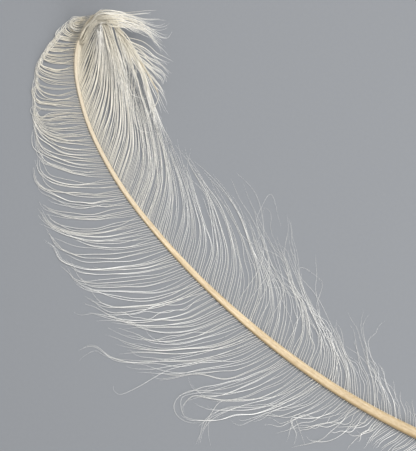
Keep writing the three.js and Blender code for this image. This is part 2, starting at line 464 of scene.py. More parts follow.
@dataclass
class Shaft:
    """The bare quill and the tapered shaft above it, grown as one piece of horn.

    line_points are its underside, from the point of the quill to the end of the curled tip, and widths
    gives its width against the distance along them, in millimetres. Its section is height_share as high
    as it is wide, and cut flat at underside_cut of its half height below the middle. The groove along
    its top is groove_width wide, as an angle in radians. It sets in over groove_grows, from the end of
    the bare quill, and ends over groove_fades, from the quill's point. Barbs grow out at left_roots and
    right_roots: how far aside and how high, as shares of the section. The ends are closed about a middle
    that lies at middle_height.
    """

    CAP_INSET = 0.35  # how far inside the rim an end's inner ring lies, as a share of the radius
    NEAR = 0.01  # how far from an end of the tube a point still counts as on it
    CARRY_STEPS = 400  # steps in which the upward direction is carried along the curl

    line_points: tuple[Point, ...] = (
        (-43, -24.5, 0), (0, 0, 0), (43, 19.9, 0), (86, 35.6, 0), (131, 48, 0), (176.5, 56.8, 0),
        (222.5, 62.4, 0), (268.5, 64.4, 0), (315, 62.3, 0), (360, 53, 0), (386, 42.5, 0), (404, 32, 0.8),
        (418, 18.5, 5), (425.5, 2, 14), (426, -10, 25), (418, -15.5, 34), (404, -14, 38), (386, -12, 36.5),
        (368, -9.5, 31), (350, -6, 23),
    )
    widths: Rows = (
        (0, 2.2), (3, 4.6), (12, 7.2), (45, 8.2), (80, 8.1), (130, 7.3),
        (215, 6.3), (280, 4.9), (375, 3.8), (450, 2.9), (530, 2.0), (622, 0.7),
    )
    quill_length: float = 49.5
    height_share: float = 0.86
    underside_cut: float = 0.8
    middle_height: float = 0.45
    groove_depth: float = 0.1
    groove_width: float = 0.3
    groove_grows: Span = (2.0, 47.0)
    groove_fades: Span = (480.0, 570.0)
    left_roots: Place = (0.44, 0.4)
    right_roots: Place = (0.4, 0.7)
    sides: int = 28
    step: float = 2.0
    line: Line = field(init=False)

    def __post_init__(self) -> None:
        """Draw the line that the shaft follows."""
        self.line = Line(self.line_points)

    def width(self, distance: Numbers) -> np.ndarray:
        """Return the shaft's width at these distances from the point of the quill."""
        return read(self.widths, distance)

    def roots(self, distances: np.ndarray, side: Side) -> np.ndarray:
        """Find where barbs grow out of the shaft, just under its surface.

        Args:
            distances: How far from the point of the quill they grow.
            side: The side that they grow on.

        Returns:
            A point for each distance.
        """
        along = self.line.along(distances)
        out = np.stack([-along[:, 1], along[:, 0], np.zeros(len(along))], axis=1) * side.value
        out /= np.linalg.norm(out, axis=1, keepdims=True)
        width = self.width(distances)[:, None]
        aside, height = self.left_roots if side is Side.LEFT else self.right_roots
        up = (0.0, 0.0, height * self.height_share)
        return self.line.at(distances) + out * width * aside + width * up

    def build(self) -> bpy.types.Object:
        """Make the shaft: a round tube drawn out along X, shaped by its section and bent along its line.

        Returns:
            The object.
        """
        bm = bmesh.new()
        ring = bmesh.ops.create_circle(bm, cap_ends=False, segments=self.sides, radius=1.0)["verts"]
        bmesh.ops.rotate(bm, verts=ring, matrix=Matrix.Rotation(math.pi / 2, 3, "Y"))
        edges = list(bm.edges)
        stations = np.arange(0.0, self.line.length, self.step)
        for _ in stations[1:]:
            drawn = bmesh.ops.extrude_edge_only(bm, edges=edges)["geom"]
            moved = [g for g in drawn if isinstance(g, bmesh.types.BMVert)]
            edges = [g for g in drawn if isinstance(g, bmesh.types.BMEdge)]
            bmesh.ops.translate(bm, verts=moved, vec=(self.step, 0.0, 0.0))
        for end in (0.0, float(stations[-1])):
            rim = [e for e in bm.edges if all(abs(v.co.x - end) < self.NEAR for v in e.verts)]
            cap = bmesh.ops.edgeloop_fill(bm, edges=rim)["faces"]
            inner = bmesh.ops.inset_individual(bm, faces=cap, thickness=self.CAP_INSET, depth=0.0)
            bmesh.ops.poke(bm, faces=cap + [f for f in inner["faces"] if len(f.verts) > 4])
        self._bend(bm)
        bmesh.ops.recalc_face_normals(bm, faces=bm.faces)
        mesh = bpy.data.meshes.new("quill_and_shaft")
        bm.to_mesh(mesh)
        bm.free()
        mesh.shade_smooth()
        made = bpy.data.objects.new("quill_and_shaft", mesh)
        bpy.context.scene.collection.objects.link(made)
        log.info("quill_and_shaft: %d faces", len(mesh.polygons))
        return made

    def _bend(self, bm: bmesh.types.BMesh) -> None:
        """Move the points of a straight round tube to their places, and mark where each is on the shaft.

        Args:
            bm: The tube, 1 mm in radius and drawn out along X from the point of the quill.
        """
        flat = np.array([v.co for v in bm.verts])
        distance = flat[:, 0]
        width = self.width(distance)
        radius = np.hypot(flat[:, 1], flat[:, 2])
        angle = np.arctan2(flat[:, 2], flat[:, 1])
        cut = self.underside_cut
        rise = (np.maximum(np.sin(angle), -cut) + cut) / (1 + cut)
        (start, full), (fade, end) = self.groove_grows, self.groove_fades
        grown = smooth((distance - self.quill_length - start) / (full - start))
        grown = grown * (1 - smooth((distance - fade) / (end - fade)))
        dent = self.groove_depth * grown * np.exp(-(((angle - math.pi / 2) / self.groove_width) ** 2))
        aside = np.cos(angle) * radius
        rise = self.middle_height + (rise - dent - self.middle_height) * radius
        along = self.line.along(distance)
        left, up = self._frames(distance, along)
        bent = self.line.at(distance)
        bent += left * (aside * width / 2)[:, None]
        bent += up * (rise * width * self.height_share)[:, None]
        layer = bm.verts.layers.float_vector.new(MARKS)
        marks = np.column_stack([distance / self.line.length, aside, radius])
        for vert, spot, mark in zip(bm.verts, bent * MM, marks):
            vert.co = spot
            vert[layer] = mark

    def _frames(self, distance: np.ndarray, along: np.ndarray) -> tuple[np.ndarray, np.ndarray]:
        """Find which way the shaft's left and its top face, carried along its curl.

        Args:
            distance: Distances from the point of the quill.
            along: The unit directions along the shaft there.

        Returns:
            The unit directions left and up.
        """
        steps = np.linspace(0.0, self.line.length, self.CARRY_STEPS)
        ways = self.line.along(steps)
        ups = np.empty_like(ways)
        up = np.array([0.0, 0.0, 1.0])
        for i, way in enumerate(ways):
            up = up - way * up.dot(way)
            up /= np.linalg.norm(up)
            ups[i] = up
        found = np.stack([np.interp(distance, steps, c) for c in ups.T], axis=-1)
        found -= along * (found * along).sum(axis=1, keepdims=True)
        found /= np.linalg.norm(found, axis=1, keepdims=True)
        return np.cross(found, along), found


# ---- The vanes ----


class Lock(NamedTuple):
    """Barbs that lie together as one strand.

    distance is how far along the shaft they grow from where the first barbs do, and points are where the
    strand then runs, seen from above.
    """

    distance: float
    points: tuple[Place, ...]


@dataclass(frozen=True)
class Lie:
    """How high the barbs of a vane lie over the surface, in millimetres.

    They come down from the shaft over the share down_by of their length to a bed, over which each strand
    arches by a random lift. rises gives how much higher their tips are, against the distance along the
    shaft from the first barbs, and rise_power how late along a barb it rises: 1 is evenly.
    """

    ARCH_START = 0.1  # how much of its half turn a strand's arch already has at the root
    ARCH_POWER = 0.8  # how broad the top of the arch is: 1 is a plain sine

    rises: Rows
    bed: float = 0.35
    lift: Span = (0.2, 1.9)
    rise_power: float = 1.6
    down_by: float = 0.28

    def heights(self, root: float, lift: float, distance: float, share: np.ndarray) -> np.ndarray:
        """Return the heights along a strand.

        Args:
            root: The height at which it grows.
            lift: How much it arches.
            distance: How far along the shaft it grows from where the first barbs do.
            share: Places along it, from 0 at its root to 1 at its tip.

        Returns:
            The height at each place.
        """
        turn = math.pi * (self.ARCH_START + (1.0 - self.ARCH_START) * share)
        lain = self.bed + lift * np.sin(turn) ** self.ARCH_POWER
        leave = 1.0 - smooth(share / self.down_by)
        rise = read(self.rises, distance)
        return root * leave + lain * (1.0 - leave) + rise * share**self.rise_power


LEFT_LIE = Lie(((0, 0), (406, 1), (424, 3), (438, 5), (456, 8), (475, 12)))
RIGHT_LIE = Lie(((0, 0), (276, 0), (293, 4), (311, 11), (333, 20), (358, 29), (397, 35), (440, 32)))


class Barb(NamedTuple):
    """One barb of a vane: its path, its tone, and how far it grows from where the first barbs do."""

    path: np.ndarray
    tone: float
    distance: float


@dataclass
class Vane:
    """The loose barbs along one side of the shaft, between two distances from the first barbs.

    Their spacings are in millimetres and their girths against their make's, both by that distance. Each
    barb joins the nearest lock in the way that gather says. A part of them, loose_share, lies loose
    between that lock and one up to loose_over locks away. The locks that grow between the two distances
    of trail run on along the rim of the vane. Where two locks grow further apart than widest_gap, one
    more is put between them.
    """

    ROW = 160  # points along a strand
    JITTER = 0.3  # how far a barb grows from its even place, as a share of the spacing
    LOOSE_PART = (0.25, 0.75)  # how far a loose barb lies from its own lock towards the other one
    GIRTH_SPREAD = (0.68, 1.32)
    WISP_GIRTH = 0.75
    TRAIL_STEP = 2  # how many locks on the tip lies that a trailing one runs to
    SHARPEST_TRAIL = 0.5  # the least cosine of the turn that it takes there

    name: str
    side: Side
    locks: tuple[Lock, ...]
    wisps: tuple[Lock, ...]
    first: float
    last: float
    lie: Lie
    gather: Gather
    loose: Gather
    spacings: Rows
    girths: Rows
    loose_share: float = 0.16
    loose_over: int = 2
    trail: Span = (0, 0)
    widest_gap: float = 6.2
    thread: Thread = PLAIN

    def barbs(self, shaft: Shaft, rng: Draws) -> Barbs:
        """Return the vane's barbs.

        Args:
            shaft: The shaft that they grow from.
            rng: The source of random numbers.

        Returns:
            The barbs, in order along the shaft, and then those of the wisps.
        """
        grown = self._grown(shaft, rng)
        stray = self._stray(shaft, rng)
        paths, tones, distances = zip(*grown, *stray)
        girths = read(self.girths, distances) * rng.uniform(*self.GIRTH_SPREAD, len(distances))
        girths[len(grown) :] *= self.WISP_GIRTH
        return Barbs(np.stack(paths), np.clip(tones, 0.0, 1.0), girths, self.thread)

    def _grown(self, shaft: Shaft, rng: Draws) -> list[Barb]:
        """Grow barbs one by one along the shaft, and let each join a lock.

        Args:
            shaft: The shaft that they grow from.
            rng: The source of random numbers.

        Returns:
            The barbs, in order along the shaft.
        """
        places, rows = self._rows(shaft, rng)
        tones = rng.random(len(rows))
        closed = rng.uniform(*self.gather.closed, len(rows))
        grown = []
        grid = self.first
        while grid < self.last:
            spacing = float(read(self.spacings, grid))
            distance = grid + rng.uniform(-self.JITTER, self.JITTER) * spacing
            grid += spacing
            i = int(np.abs(places - distance).argmin())
            own = self._between(places, rows, distance)
            row, gather, near = rows[i], self.gather, places[i]
            if rng.random() < self.loose_share:
                step = int(rng.integers(1, self.loose_over + 1)) * int(rng.choice((-1, 1)))
                k = int(np.clip(i + step, 0, len(rows) - 1))
                part = rng.uniform(*self.LOOSE_PART)
                row, near = row * (1 - part) + rows[k] * part, near * (1 - part) + places[k] * part
                gather = self.loose
            aside = -self.side.value * (distance - near)
            moved = own + self._root(shaft, distance) - own[0]
            path = gather.path(rng, moved, row, aside, closed[i])
            grown.append(Barb(path, tones[i] + rng.normal(0.0, TONE_SPREAD), distance))
        return grown

    def _stray(self, shaft: Shaft, rng: Draws) -> list[Barb]:
        """Grow the wisps of this part of the vane, each a barb on a course of its own.

        Args:
            shaft: The shaft that they grow from.
            rng: The source of random numbers.

        Returns:
            The wisps, in the order of their table.
        """
        stray = []
        for wisp in self.wisps:
            if self.first <= wisp.distance < self.last:
                row = self._row(shaft, rng, wisp)
                path = SINGLE.path(rng, row, row, 0.0, 1.0)
                stray.append(Barb(path, rng.random(), wisp.distance))
        return stray

    def _root(self, shaft: Shaft, distance: float) -> np.ndarray:
        """Return where a barb grows out of the shaft, at a distance from the first barbs."""
        return shaft.roots(np.array([distance + shaft.quill_length]), self.side)[0]

    @staticmethod
    def _between(places: np.ndarray, rows: list[np.ndarray], distance: float) -> np.ndarray:
        """Find the way that a barb would take alone, evenly between the locks at both sides.

        Args:
            places: How far along the shaft the locks grow.
            rows: The points along each lock.
            distance: How far along the shaft the barb grows.

        Returns:
            Evenly spaced points along its way.
        """
        k = int(np.clip(np.searchsorted(places, distance), 1, len(rows) - 1))
        part = float(np.clip((distance - places[k - 1]) / (places[k] - places[k - 1]), 0.0, 1.0))
        return rows[k - 1] * (1 - part) + rows[k] * part

    def _rows(self, shaft: Shaft, rng: Draws) -> tuple[np.ndarray, list[np.ndarray]]:
        """Lay out the locks, with one more in every wide gap.

        Args:
            shaft: The shaft that they grow from.
            rng: The source of random numbers.

        Returns:
            How far along the shaft each grows, and the points along each.
        """
        places: list[float] = []
        rows: list[np.ndarray] = []
        for i, lock in enumerate(self.locks):
            row = self._row(shaft, rng, self._trailed(i) if self._trails(lock) else lock)
            if places and lock.distance - places[-1] > self.widest_gap:
                places.append((places[-1] + lock.distance) / 2)
                rows.append((rows[-1] + row) / 2)
            places.append(lock.distance)
            rows.append(row)
        return np.array(places), rows

    def _trails(self, lock: Lock) -> bool:
        """Return whether a strand's tip runs on along the rim of the vane."""
        return self.trail[0] <= lock.distance < self.trail[1]

    def _trailed(self, number: int) -> Lock:
        """Let a lock run on to the tip of a later one, unless it would need a sharp turn.

        Args:
            number: Its number among the locks.

        Returns:
            The lock, longer or as it was.
        """
        lock = self.locks[number]
        if number + self.TRAIL_STEP >= len(self.locks):
            return lock
        tip = self.locks[number + self.TRAIL_STEP].points[-1]
        before, end, on = np.array([*lock.points[-2:], tip], float)
        turn = unit(end - before) @ unit(on - end)
        return Lock(lock.distance, (*lock.points, tip)) if turn > self.SHARPEST_TRAIL else lock

    def _row(self, shaft: Shaft, rng: Draws, lock: Lock) -> np.ndarray:
        """Lay out the middle of a lock or a wisp.

        Args:
            shaft: The shaft that it grows from.
            rng: The source of random numbers.
            lock: The lock.

        Returns:
            Evenly spaced points from its root to its tip.
        """
        root = self._root(shaft, lock.distance)
        flat = Line((root[:2], *lock.points)).spread(self.ROW)
        share = np.linspace(0.0, 1.0, self.ROW)
        lift = rng.uniform(*self.lie.lift)
        return np.column_stack([flat, self.lie.heights(root[2], lift, lock.distance, share)])


def strands(*rows: tuple[float, ...]) -> tuple[Lock, ...]:
    """Return a lock for each row of numbers: its distance, and then the x and y of each of its points."""
    return tuple(Lock(row[0], tuple(zip(row[1::2], row[2::2]))) for row in rows)


# The strands of the left and the right vane, and then their wisps: single barbs that lie across the
# others, some of them in loops. They are in the order in which they are grown.
LEFT_LOCKS = strands(
    (2, 1, 10, 2, 17, 4, 21),
    (7, 6, 13, 7, 21, 6, 27),
    (12, 10, 16, 12, 25, 14, 31),
    (18, 15, 19, 16, 29, 15, 36),
    (24, 20, 22, 22, 31, 22, 40),
    (29, 25, 24, 25, 34, 22, 43),
    (33, 28, 26, 30, 36, 30, 45),
    (38, 34, 27, 35, 37, 31, 46),
    (43, 39, 31, 40, 40, 38, 48),
    (48, 42, 34, 40, 42, 37, 50),
    (53, 46, 34, 48, 41, 52, 48, 58, 50),
    (58, 51, 37, 55, 44, 61, 50),
    (63, 56, 40, 62, 48, 69, 54),
    (67, 58, 44, 58, 57, 62, 69, 71, 77, 82, 75),
    (72, 65, 49, 67, 65, 72, 79, 77, 93),
    (76, 68, 50, 75, 63, 81, 77, 90, 88),
    (80, 72, 47, 75, 58, 80, 68, 86, 77, 89, 86, 98, 92),
    (85, 77, 53, 83, 66, 92, 77, 79, 80, 65, 83),
    (89, 81, 47, 83, 56, 86, 64, 89, 72, 91, 80, 93, 88, 99, 93, 103, 99),
    (94, 87, 54, 90, 67, 95, 79, 105, 87, 115, 95),
    (99, 91, 56, 95, 70, 99, 82, 107, 93, 107, 106),
    (102, 95, 59, 100, 73, 111, 84, 118, 97),
    (106, 98, 56, 100, 68, 104, 79, 108, 90, 111, 101, 115, 111, 125, 114),
    (111, 103, 59, 106, 73, 109, 86, 114, 98, 122, 108, 127, 120, 134, 130, 142, 139, 153, 142, 161, 133),
    (115, 108, 64, 111, 82, 118, 97, 129, 110, 140, 121, 155, 127),
    (120, 114, 76, 125, 101, 131, 126, 123, 151),
    (124, 116, 69, 122, 89, 133, 104, 146, 117, 164, 123),
    (128, 119, 65, 124, 80, 128, 94, 135, 106, 145, 115, 155, 124, 153, 136, 140, 137, 132, 127),
    (132, 125, 67, 129, 84, 136, 98, 145, 110, 156, 120, 171, 121),
    (136, 133, 83, 143, 111, 162, 131),
    (140, 132, 64, 136, 75, 139, 85, 144, 95, 149, 105, 154, 114, 157, 124, 163, 132),
    (145, 140, 76, 148, 96, 164, 109, 177, 125, 192, 137),
    (149, 142, 66, 145, 77, 149, 87, 155, 95, 161, 104, 167, 112, 172, 121, 177, 130, 183, 138, 192, 141),
    (154, 148, 74, 156, 90, 165, 105, 174, 120, 186, 132, 199, 141, 212, 151),
    (158, 152, 72, 158, 87, 167, 100, 176, 111, 184, 124, 192, 136, 204, 144, 216, 139),
    (162, 157, 75, 165, 91, 174, 106, 185, 119, 195, 131, 205, 144, 218, 153, 233, 158, 237, 172),
    (166, 160, 72, 165, 86, 171, 98, 178, 109, 187, 120, 196, 129, 205, 138, 216, 144, 225, 153),
    (170, 166, 78, 176, 96, 187, 112, 200, 125, 213, 137, 230, 144),
    (175, 172, 83, 185, 103, 199, 122, 216, 135, 236, 144),
    (179, 173, 77, 181, 93, 189, 107, 199, 120, 211, 129, 223, 139),
    (182, 182, 86, 194, 109, 213, 125, 236, 133),
    (188, 188, 93, 205, 118, 232, 130),
    (192, 194, 93, 213, 117, 239, 133),
    (197, 195, 87, 209, 107, 225, 124, 244, 137),
    (202, 199, 87, 212, 108, 227, 125, 245, 138),
    (206, 199, 75, 202, 87, 208, 97, 215, 105, 221, 115, 227, 123, 235, 130, 244, 136, 253, 141, 260, 148,
     270, 149),
    (212, 208, 90, 221, 112, 236, 130, 255, 145),
    (216, 213, 91, 225, 114, 241, 133),
    (220, 217, 90, 228, 111, 241, 130, 260, 140),
    (225, 222, 92, 236, 114, 252, 132, 276, 137),
    (229, 225, 88, 235, 107, 250, 121, 267, 131, 285, 140),
    (235, 228, 81, 234, 94, 243, 105, 252, 115, 261, 125, 270, 133, 282, 138),
    (239, 235, 82, 242, 97, 252, 109, 261, 121, 272, 132, 286, 132),
    (243, 237, 78, 241, 88, 247, 98, 253, 107, 259, 116, 265, 124, 272, 132, 280, 138, 290, 142, 299, 140,
     308, 142, 318, 143),
    (246, 242, 82, 251, 96, 260, 109, 268, 121, 277, 132, 292, 131),
    (249, 247, 83, 255, 97, 265, 110, 275, 122, 287, 131, 302, 129),
    (254, 254, 89, 268, 108, 281, 125),
    (259, 253, 80, 259, 92, 266, 102, 273, 113, 280, 122, 289, 129, 300, 134, 311, 132, 322, 136),
    (263, 262, 89, 275, 107, 289, 123, 308, 129),
    (266, 262, 79, 268, 91, 274, 102, 282, 111, 290, 120, 300, 126, 310, 130, 322, 128, 333, 127),
    (270, 272, 91, 286, 111, 303, 127, 326, 126),
    (274, 276, 91, 292, 108, 312, 119),
    (278, 282, 94, 302, 113, 326, 124),
    (282, 282, 86, 292, 102, 306, 115, 322, 123, 339, 123),
    (286, 283, 81, 290, 94, 299, 105, 309, 114, 320, 121, 332, 124, 345, 121),
    (290, 288, 82, 295, 96, 304, 108, 315, 117, 328, 123, 342, 121),
    (295, 294, 83, 302, 99, 313, 111, 327, 120, 343, 121),
    (299, 294, 75, 300, 84, 305, 92, 311, 99, 317, 105, 324, 111, 331, 116, 338, 120, 346, 119),
    (303, 299, 77, 305, 88, 312, 97, 319, 105, 328, 112, 338, 117, 348, 119),
    (307, 305, 80, 312, 94, 322, 104, 333, 113, 345, 118),
    (311, 305, 74, 309, 81, 314, 87, 318, 94, 323, 100, 329, 104, 335, 108, 342, 112, 349, 111),
    (314, 309, 74, 314, 81, 318, 88, 324, 94, 330, 100, 337, 104, 344, 107, 352, 110, 359, 110, 365, 105),
    (317, 318, 81, 330, 93, 343, 103),
    (321, 316, 73, 321, 81, 327, 87, 333, 93, 338, 99, 345, 105, 351, 109, 359, 110, 366, 107),
    (324, 323, 76, 332, 86, 341, 95, 352, 102, 364, 103),
    (328, 328, 78, 338, 90, 350, 99, 363, 103, 375, 96),
    (331, 329, 73, 336, 82, 345, 88, 353, 94, 362, 99, 372, 95),
    (335, 332, 71, 338, 78, 345, 84, 352, 88, 360, 93, 367, 97, 374, 93),
    (339, 341, 74, 353, 84, 366, 91, 380, 95, 390, 86),
    (343, 341, 70, 349, 78, 358, 84, 367, 88, 377, 90),
    (346, 349, 74, 361, 86, 376, 92, 390, 84),
    (351, 348, 70, 357, 78, 366, 85, 377, 89, 387, 86),
    (354, 352, 71, 362, 80, 374, 84, 386, 86, 397, 80),
    (357, 362, 75, 380, 84, 399, 80),
    (361, 362, 69, 374, 79, 387, 83, 400, 79),
    (366, 368, 72, 385, 81, 402, 78),
    (371, 368, 67, 377, 77, 390, 81, 402, 77),
    (376, 373, 65, 382, 76, 393, 80, 403, 74),
    (380, 377, 62, 383, 71, 392, 78, 402, 76),
    (384, 380, 59, 385, 67, 390, 75, 399, 77, 406, 72),
    (388, 384, 59, 390, 68, 396, 77, 405, 73),
    (390, 386, 58, 394, 67, 402, 73, 412, 68),
    (393, 389, 56, 396, 63, 404, 70, 413, 67),
    (396, 388, 51, 392, 56, 395, 61, 399, 65, 403, 69, 409, 70, 414, 67, 414, 63),
    (400, 394, 55, 403, 63, 414, 63, 422, 57),
    (403, 399, 56, 412, 63, 424, 55),
    (407, 403, 53, 416, 61, 426, 52),
    (410, 404, 49, 413, 56, 423, 56, 428, 47),
    (412, 409, 50, 422, 56, 429, 44),
    (415, 411, 48, 423, 53, 430, 41),
    (419, 413, 46, 425, 51, 430, 39),
    (423, 415, 43, 426, 49, 431, 38),
    (426, 414, 36, 420, 41, 427, 45, 430, 40),
    (429, 415, 32, 418, 36, 421, 39, 425, 42, 429, 43, 430, 39, 431, 35),
    (432, 421, 35, 429, 41, 432, 32),
    (436, 424, 31, 431, 37, 433, 28),
    (440, 425, 26, 432, 31, 434, 24),
    (445, 427, 21, 434, 25, 436, 18),
    (448, 428, 18, 435, 19, 436, 12),
    (452, 429, 14, 434, 14, 435, 9),
    (456, 429, 11, 434, 12, 434, 7, 431, 4),
    (460, 430, 7, 433, 11, 429, 12, 425, 8),
    (464, 431, 4, 434, 8, 432, 12, 428, 9),
    (469, 431, 1, 433, 4, 436, 8, 435, 12),
)
RIGHT_LOCKS = strands(
    (2, 8, -4, 12, -5),
    (7, 13, -2, 18, -5),
    (12, 18, -1, 25, -3),
    (16, 22, 0, 29, -4),
    (21, 25, 1, 30, -1, 36, -2),
    (26, 32, 3, 40, 0, 48, -2),
    (31, 36, 4, 43, 1, 51, 0),
    (36, 42, 7, 50, 5, 58, 2),
    (40, 50, 7, 62, 4, 74, 0, 85, -5),
    (44, 53, 8, 65, 5, 76, 1, 87, -2),
    (49, 60, 9, 74, 5, 88, 3, 98, -5),
    (53, 63, 10, 77, 6, 90, 2, 101, -6),
    (58, 68, 12, 82, 6, 95, 0, 107, -6),
    (63, 72, 12, 86, 6, 99, -2, 112, -9, 122, -19),
    (67, 76, 14, 91, 9, 104, 3, 118, -3, 131, -8),
    (71, 74, 17, 83, 14, 92, 11, 101, 13, 110, 11),
    (77, 88, 17, 104, 13, 120, 7, 135, 4),
    (83, 92, 19, 106, 13, 120, 7, 134, 5, 148, 1),
    (89, 93, 21, 105, 17, 117, 13, 129, 9, 140, 4, 151, 0),
    (94, 97, 26, 106, 21, 115, 16, 124, 12, 134, 13, 143, 10, 152, 8),
    (101, 102, 26, 110, 19, 119, 14, 128, 11, 137, 10, 146, 6, 152, -1, 158, -8, 167, -7, 175, -4),
    (106, 109, 24, 122, 18, 136, 15, 149, 11, 161, 7, 173, 2, 185, -2, 197, -5, 209, -10, 219, -17),
    (112, 116, 24, 130, 17, 145, 13, 159, 8, 172, 2, 185, -4, 198, -11, 209, -19),
    (118, 122, 22, 139, 14, 156, 10, 173, 10),
    (124, 126, 26, 140, 20, 154, 14, 168, 14, 182, 17),
    (130, 131, 28, 144, 18, 158, 12, 172, 9, 185, 4, 199, -1, 211, -7, 222, -16, 235, -20, 231, -8),
    (136, 139, 26, 155, 15, 172, 9, 189, 2, 206, 3, 223, 3),
    (141, 143, 30, 155, 19, 169, 13, 184, 17, 199, 17),
    (146, 146, 33, 155, 23, 167, 16, 179, 12, 191, 8, 202, 3, 215, 1, 227, 2),
    (151, 157, 29, 174, 17, 194, 12, 212, 5, 230, -1, 248, -9),
    (158, 159, 35, 171, 25, 184, 19, 198, 15, 211, 10, 224, 5, 238, 3),
    (164, 167, 33, 182, 23, 199, 17, 215, 11, 230, 4, 247, 3),
    (171, 177, 31, 198, 20, 219, 13, 239, 5, 260, 3),
    (178, 182, 33, 199, 21, 218, 14, 237, 7, 256, 4, 275, 4, 294, 5),
    (184, 191, 29, 214, 16, 238, 6, 263, 4, 288, 5, 311, 7),
    (187, 193, 32, 214, 21, 236, 13, 258, 9, 280, 7, 300, 5),
    (190, 195, 36, 215, 26, 235, 19, 254, 13, 273, 7, 293, 4),
    (195, 201, 36, 221, 25, 242, 19),
    (201, 209, 34, 231, 21, 254, 13, 277, 11, 301, 9, 323, 7),
    (206, 216, 33, 240, 19, 266, 13, 292, 9, 318, 9),
    (211, 218, 36, 240, 24, 262, 16, 286, 14, 308, 10),
    (217, 224, 37, 244, 25, 266, 16, 288, 13),
    (223, 229, 39, 249, 25, 269, 14, 291, 10, 312, 9),
    (228, 231, 40, 250, 32, 269, 25, 286, 16, 305, 11),
    (233, 237, 42, 254, 31, 271, 23, 289, 15, 307, 11),
    (239, 245, 40, 265, 29, 286, 20, 305, 12, 326, 8),
    (246, 249, 44, 264, 33, 281, 24, 298, 18, 315, 12, 332, 8),
    (252, 259, 40, 280, 28, 302, 19, 324, 11),
    (259, 265, 40, 286, 26, 308, 17, 330, 9),
    (264, 272, 40, 292, 27, 314, 16, 336, 7),
    (270, 278, 40, 299, 25, 321, 14, 343, 4),
    (276, 285, 37, 309, 22, 334, 10, 359, -1),
    (282, 295, 32, 325, 14, 356, 0),
    (288, 298, 34, 323, 17, 349, 3, 377, -6),
    (293, 299, 38, 320, 23, 342, 11, 364, 1, 387, -6),
    (298, 308, 33, 334, 16, 361, 3, 389, -6),
    (304, 310, 37, 331, 22, 353, 10, 376, 1, 399, -6),
    (311, 316, 38, 337, 22, 359, 11, 381, 1, 403, -6),
    (317, 327, 33, 353, 17, 380, 3, 407, -6),
    (324, 329, 38, 348, 23, 367, 11, 388, 1, 409, -5),
    (333, 340, 33, 363, 16, 386, 2, 411, -6),
    (340, 346, 34, 367, 17, 389, 3, 413, -5),
    (347, 352, 34, 371, 18, 392, 5, 413, -5),
    (358, 366, 28, 390, 9, 415, -5),
    (368, 374, 27, 394, 9, 416, -5),
    (378, 381, 26, 399, 8, 419, -7),
    (388, 388, 24, 403, 8, 419, -6),
    (397, 395, 23, 406, 7, 419, -7),
    (405, 400, 21, 410, 6, 420, -9),
    (413, 406, 19, 414, 4, 421, -11),
    (421, 412, 16, 418, 2, 422, -12),
    (429, 416, 13, 421, 1, 423, -12),
    (435, 420, 10, 423, -1, 425, -13),
    (442, 423, 6, 425, -4, 425, -14),
)
LEFT_WISPS = strands(
    (52, 47, 34, 48, 50, 47, 60),
    (70, 65, 41, 65, 56, 66, 72, 72, 85, 76, 93),
    (74, 71, 46, 76, 57, 87, 68, 93, 73, 83, 77, 66, 83),
    (106, 105, 73, 117, 93, 132, 114, 134, 129, 128, 139, 120, 147),
    (108, 106, 72, 118, 92, 131, 111, 133, 125, 126, 133, 114, 140),
    (113, 112, 72, 124, 92, 137, 110, 135, 121, 131, 132, 127, 142, 124, 150),
    (137, 134, 72, 141, 93, 148, 110, 155, 121, 159, 131, 153, 137, 146, 139, 139, 134, 131, 124, 127, 114),
    (139, 132, 73, 139, 94, 149, 111, 159, 123, 161, 134, 157, 141, 149, 143, 140, 139, 133, 129),
    (164, 161, 76, 170, 99, 178, 117, 182, 126, 185, 140, 187, 151, 192, 167, 198, 168, 201, 166),
    (168, 168, 80, 177, 102, 189, 123, 200, 139, 214, 152, 224, 155, 232, 158, 236, 164, 236, 172),
    (172, 176, 95, 198, 134, 220, 155, 229, 159, 231, 169, 229, 178),
    (192, 190, 87, 200, 109, 213, 127, 227, 136, 241, 142),
    (356, 354, 70, 365, 79, 379, 82, 388, 83, 395, 80, 400, 77, 403, 73, 403, 70, 400, 71),
    (369, 367, 64, 376, 73, 384, 78, 390, 80, 396, 79, 401, 76, 401, 72),
    (375, 373, 64, 381, 72, 386, 77, 391, 78, 396, 77, 401, 74, 401, 71, 399, 70, 398, 72),
    (379, 376, 61, 382, 69, 387, 76, 393, 78, 398, 76, 400, 73, 399, 71, 397, 72),
    (381, 378, 60, 386, 71, 388, 75, 391, 77, 393, 75, 392, 73),
    (383, 375, 56, 383, 65, 391, 75, 396, 76, 399, 75, 399, 72, 402, 73, 402, 75, 399, 77),
    (384, 379, 57, 385, 64, 388, 71, 392, 75, 396, 76, 401, 75, 404, 75),
    (387, 380, 54, 387, 61, 392, 68, 393, 76, 392, 82, 389, 85),
    (387, 379, 55, 385, 64, 392, 73, 396, 77, 400, 79, 403, 78, 404, 75, 402, 72, 399, 70),
    (387, 381, 55, 390, 67, 392, 71, 393, 76, 395, 80, 398, 80, 401, 78),
    (393, 385, 52, 391, 59, 397, 64, 402, 69, 407, 71, 412, 69, 415, 66, 414, 63, 410, 63, 409, 66),
)
